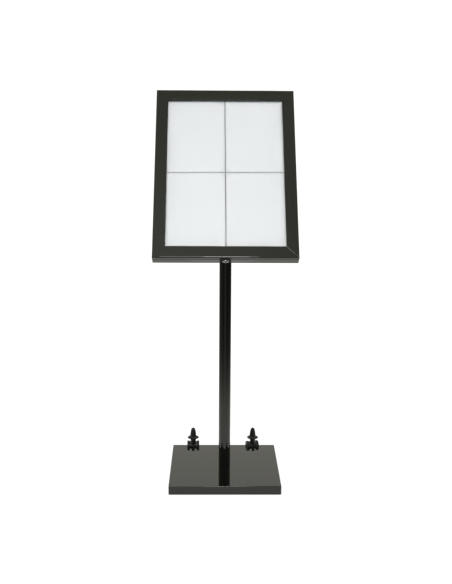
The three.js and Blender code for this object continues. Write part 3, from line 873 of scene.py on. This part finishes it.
def build_lock():
    """Chrome cam lock: a bezel with a bright rounded rim, and the turning plug with its key slot."""
    low, high = box_in(case_turn, "lock_barrel")
    centre = (low + high) / 2
    rim = (high.x - low.x) / 2
    place = case_turn @ Matrix.Translation((centre.x, centre.y, low.z))
    seat, tail = 2.2 * MM, high.z - low.z
    barrel, bore = 8.2 * MM, 5.3 * MM
    profile = filleted(
        [(bore, 2.0 * MM), (bore + 2.0 * MM, 0), (rim, 0), (rim, seat), (barrel, seat), (barrel, tail),
         (bore, tail)],
        [0.2 * MM, 0.5 * MM, 0.9 * MM, 0.2 * MM, 0.1 * MM, 0.3 * MM, 0.3 * MM],
        5,
        closed=True,
    )
    bezel = turned("lock_barrel_bezel", profile, 96, closed=True)
    add_piece("lock_barrel_bezel", bezel, "stand", "chrome_lock", ["lock_barrel"], place)

    core_low, core_high = box_in(case_turn, "lock_plug")
    place = case_turn @ Matrix.Translation((centre.x, centre.y, core_low.z))
    length = core_high.z - core_low.z
    radius, neck, head = 5.0 * MM, 3.4 * MM, 5.4 * MM
    neck_start = 17.6 * MM
    head_start = 23.1 * MM
    profile = filleted(
        [(0, 0), (radius, 0), (radius, neck_start), (neck, neck_start),
         (neck, head_start), (head, head_start), (head, length), (0, length)],
        0.35 * MM,
        4,
    )
    slot = block("slot", (-0.8 * MM, -3.4 * MM, -MM), (0.8 * MM, 3.4 * MM, 7 * MM), 0.15 * MM)
    core = drilled(turned("lock_plug_keyed", profile, 72), slot)
    add_piece("lock_plug_keyed", core, "lock_core", "chrome_lock", ["lock_plug"], place)


# ---------------------------------------------------------------- casters


def caster_wheel(radius, width):
    """Caster wheel about Z: crowned tread, raised rim, dished web and a hub round the axle."""
    half = width / 2
    web = half - 1.6 * MM
    upper = [
        (2.8 * MM, half),
        (6.2 * MM, half),
        (7.2 * MM, web),
        (radius - 4.2 * MM, web),
        (radius - 3.4 * MM, half),
        (radius - 1.2 * MM, half),
        (radius, half - 1.8 * MM),
    ]
    lower = [(r, -z) for r, z in reversed(upper)]
    profile = filleted(upper + lower, 0.5 * MM, 4, closed=True)
    return turned("wheel", profile, 72, closed=True)


def caster_plug():
    """The push-in stem: pin, neck, stop flange and a slotted bullet end, about Z from the hood's foot."""
    profile = filleted(
        [(0, 26), (4, 26), (4, 44.15), (10, 44.15), (10, 50.2), (20.2, 53), (21.5, 54.5), (20.2, 56),
         (12.8, 58.2), (11.5, 60.5), (11.2, 66), (10, 76), (8.4, 84), (6.4, 90), (0, 94)],
        [0, 0.4, 0.2, 0.5, 2.5, 0.8, 0.8, 0.8, 2.5, 1.5, 6, 12, 12, 4.2, 0],
        5,
    )
    body = turned("plug", [(r * MM, z * MM) for r, z in profile], 72)
    slot = block("slot", (-15 * MM, -1.1 * MM, 62 * MM), (15 * MM, 1.1 * MM, 88 * MM), 0.5 * MM)
    return drilled(body, slot)


def moulded_copy(node, name, voxel=0.5 * MM):
    """A CAD node's shape with the soft fillets of a plastic moulding."""
    holder = link("holder", nodes[node].data.copy())
    weld = holder.modifiers.new("weld", "WELD")
    weld.merge_threshold = 2e-6
    remesh = holder.modifiers.new("voxels", "REMESH")
    remesh.mode = "VOXEL"
    remesh.voxel_size = voxel
    smooth = holder.modifiers.new("fillets", "SMOOTH")
    smooth.factor = 0.6
    smooth.iterations = 6
    mesh = applied(holder, name)
    mesh.shade_smooth()
    return mesh


def build_caster(side):
    """One parked caster. Nothing mirrors it, because the base shows no reflection of the casters."""
    spin = joints[f"caster_{side}_wheel_a_spin"]
    swivel = joints[f"caster_{side}_swivel"]
    turn = Matrix.Rotation(math.atan2(spin["axis"][1], spin["axis"][0]), 4, "Z")
    stand_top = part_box(f"caster_{side}_wheel_a")[0].z
    stem = Matrix.Translation((swivel["pos_m"][0], swivel["pos_m"][1], stand_top)) @ turn

    plug = add_piece(f"caster_{side}_plug_turned", caster_plug(), f"caster_{side}_stem", "black_nylon",
                     [f"caster_{side}_plug"], stem)
    hood = add_piece(f"caster_{side}_hood_moulded", moulded_copy(f"caster_{side}_hood", "hood"),
                     f"caster_{side}_frame", "black_nylon", [f"caster_{side}_hood"])
    unmirrored = [plug, hood, nodes[f"caster_{side}_axle"]]

    low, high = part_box("caster_left_wheel_a")
    radius, width = (high.z - low.z) / 2, high.x - low.x
    across = Matrix.Rotation(math.pi / 2, 4, "Y")
    for letter, body in (("a", "near"), ("b", "far")):
        name = f"caster_{side}_wheel_{letter}"
        wheel_low, wheel_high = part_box(name)
        place = Matrix.Translation((wheel_low + wheel_high) / 2) @ turn @ across
        unmirrored.append(add_piece(f"{name}_moulded", caster_wheel(radius, width),
                                    f"caster_{side}_wheel_{body}", "black_nylon", [name], place))
    for piece in unmirrored:
        piece.visible_glossy = False


# ---------------------------------------------------------------- stage, light and camera

PALE = (1.0, 1.0, 1.0)


def build_floor():
    """A very large white floor that glows a little, as a well lit sweep does, with a painted contact shadow
    under the base.
    """
    floor = link("floor", turned("floor", [(0, 0), (2, 0), (60, 0)], 64))
    floor.location.z = -0.2 * MM
    material, tree, shader, place = new_material("floor", Roughness=1.0, Specular_IOR_Level=0.0)
    cloud = noise_of(tree, place, 3.0)
    feed(tree, shader, Base_Color=blend_colours(tree, cloud, (0.30, 0.30, 0.30), (0.32, 0.32, 0.32)))
    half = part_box("base_cover")[1].x
    apart = add_node(tree, "ShaderNodeVectorMath", {0: place}, operation="ABSOLUTE").outputs[0]
    sides = add_node(tree, "ShaderNodeSeparateXYZ", {0: apart})
    values = {0: sides.outputs["X"], 1: sides.outputs["Y"]}
    reach = add_node(tree, "ShaderNodeMath", values, operation="MAXIMUM").outputs[0]
    # Painted contact shadow: the glow fades from 1 mm outside the base's edge to nothing 4 mm inside it, and
    # stays off under the base.
    glow_outside_painted_shadow = ranged(tree, reach, half - 4 * MM, half + 1 * MM)
    shader.inputs["Emission Color"].default_value = (*PALE, 1.0)
    feed(tree, shader, Emission_Strength=product(tree, glow_outside_painted_shadow, 0.90))
    floor.data.materials.append(material)


# Stretches of paler wall in the dim room: azimuth from the front, half width and brightness.
WALL_PATCHES = (
    (6, 11, 0.32),
    (-10, 10, 0.16),
    (-50, 14, 0.08),
    (-74, 12, 0.17),
    (70, 12, 0.10),
    (-98, 14, 0.10),
)
ROOM_DIM = 0.06
REAR_LEFT_GLOW = 0.39
REAR_RIGHT_GLOW = 0.24
# Brightness of the floor near the stand, in front and behind, and how far it reaches in metres.
SWEEP_FRONT = 1.14
SWEEP_REAR = 0.94
SWEEP_REACH = 1.07


def room_glow(angle, radius):
    """Brightness of the floor and walls seen in the lacquer, by azimuth from the front and by distance."""
    degrees = math.degrees(angle)
    dim = ROOM_DIM
    for centre, width, level in WALL_PATCHES:
        dim += level * math.exp(-((degrees - centre) / width) ** 2)
    rear = min(max((abs(degrees) - 105) / 25, 0.0), 1.0)
    rear_glow = REAR_LEFT_GLOW if degrees < 0 else REAR_RIGHT_GLOW
    dim += (rear_glow - dim) * rear
    lit = 1.0 / (1.0 + (radius / SWEEP_REACH) ** 4.5)
    bright = SWEEP_FRONT + (SWEEP_REAR - SWEEP_FRONT) * rear
    return dim + (bright - dim) * lit


def build_reflected_room():
    """The dim studio round the white sweep: only reflections see it.

    The sweep is bright near the stand and fades away from it. Past its edge the room is dark, with
    a few paler stretches of wall.
    """
    near, far, wall_height = 0.5, 4.5, 0.95
    radii = [near + (far - near) * (k / 18) ** 1.7 for k in range(19)]
    columns = 120
    shape = bmesh.new()
    colour = shape.verts.layers.float_color.new("glow")
    rows = [(r, 0.4 * MM) for r in radii] + [(far, wall_height * k / 4) for k in range(1, 5)]
    grid = []
    for radius, z in rows:
        line = []
        for k in range(columns):
            angle = -math.pi + 2 * math.pi * k / columns
            vertex = shape.verts.new((radius * math.sin(angle), -radius * math.cos(angle), z))
            level = room_glow(angle, radius)
            vertex[colour] = (level, level * 0.995, level * 0.93, 1.0)
            line.append(vertex)
        grid.append(line)
    for i in range(len(grid) - 1):
        for k in range(columns):
            after = (k + 1) % columns
            shape.faces.new([grid[i][k], grid[i][after], grid[i + 1][after], grid[i + 1][k]])
    mesh = bpy.data.meshes.new("reflected_room")
    shape.to_mesh(mesh)
    shape.free()
    room = link("reflected_room", mesh)
    material = bpy.data.materials.new("reflected_room")
    material.use_nodes = True
    tree = material.node_tree
    tree.nodes.clear()
    level = add_node(tree, "ShaderNodeAttribute", attribute_name="glow").outputs["Color"]
    light = add_node(tree, "ShaderNodeEmission", {"Color": level})
    output = add_node(tree, "ShaderNodeOutputMaterial")
    tree.links.new(light.outputs[0], output.inputs["Surface"])
    mesh.materials.append(material)
    room.visible_camera = False
    room.visible_diffuse = False
    room.visible_shadow = False
    room.visible_transmission = False


# Colour of the studio at heights above the horizon, given as the sine of the elevation.
SKY = (
    (0.00, (1.12, 1.11, 1.06)),
    (0.16, (1.10, 1.09, 1.03)),
    (0.30, (0.79, 0.78, 0.71)),
    (0.42, (0.77, 0.76, 0.69)),
    (0.70, (0.71, 0.73, 0.63)),
    (1.00, (0.71, 0.735, 0.62)),
)
CEILING_GLOW = (-0.16, -0.68, 0.72)


def build_sky():
    """A pale overhead studio: white at the horizon, dimmer above, with a glow over the photographer."""
    world = bpy.data.worlds.new("studio")
    bpy.context.scene.world = world
    world.use_nodes = True
    tree = world.node_tree
    direction = add_node(tree, "ShaderNodeTexCoord").outputs["Generated"]
    height = add_node(tree, "ShaderNodeSeparateXYZ", {0: direction}).outputs["Z"]
    ramp = add_node(tree, "ShaderNodeValToRGB", {"Fac": height})
    elements = ramp.color_ramp.elements
    while len(elements) < len(SKY):
        elements.new(0.5)
    for element, (position, colour) in zip(elements, SKY):
        element.position = position
        element.color = (*colour, 1.0)
    centre = Vector(CEILING_GLOW).normalized()
    near = add_node(tree, "ShaderNodeVectorMath", {0: direction, 1: centre}, operation="DOT_PRODUCT")
    glow = ranged(tree, near.outputs["Value"], math.cos(math.radians(19)), 1.0, 0.0, 0.56)
    grey_glow = add_node(tree, "ShaderNodeCombineXYZ", {0: glow, 1: glow, 2: glow}).outputs[0]
    values = {0: ramp.outputs["Color"], 1: grey_glow}
    total = add_node(tree, "ShaderNodeVectorMath", values, operation="ADD").outputs[0]
    tree.links.new(total, tree.nodes["Background"].inputs["Color"])


def build_soft_boxes():
    """Two soft boxes over the camera, a bright one and a wide dimmer one: they only show as reflections."""
    for name, x, width, radiance in (("key", 0.045, 0.30, 27.0), ("wide", -0.065, 0.67, 15.0)):
        data = bpy.data.lights.new(name, "AREA")
        data.shape = "RECTANGLE"
        data.size, data.size_y = width, 0.50
        data.energy = radiance * math.pi * width * 0.50
        box = bpy.data.objects.new(name, data)
        bpy.context.scene.collection.objects.link(box)
        box.location = (x, -2.58, 2.35)
        box.rotation_euler = (Vector((0, 0, 0.9)) - box.location).to_track_quat("-Z", "Y").to_euler()
        box.visible_camera = False
        box.visible_diffuse = False


def build_camera():
    """The photographer's place: chest height, three metres off, looking slightly down."""
    data = bpy.data.cameras.new("camera")
    data.sensor_width = 36.0
    data.lens = 54.78
    camera = bpy.data.objects.new("camera", data)
    bpy.context.scene.collection.objects.link(camera)
    down, right, roll = math.radians(11.47), math.radians(0.866), math.radians(0.335)
    aim = Euler((math.pi / 2 - down, 0, -right)).to_matrix().to_4x4()
    camera.matrix_world = Matrix.Translation((-0.044, -3.077, 1.303)) @ aim @ Matrix.Rotation(roll, 4, "Z")
    bpy.context.scene.camera = camera


# ---------------------------------------------------------------- assembly

bpy.context.scene.view_settings.view_transform = "Standard"
refine_cad_nodes()
build_base()
build_post()
build_head()
build_case()
build_pages()
build_disc()
build_door()
build_lock()
for caster_side in ("left", "right"):
    build_caster(caster_side)
build_floor()
build_reflected_room()
build_sky()
build_soft_boxes()
build_camera()
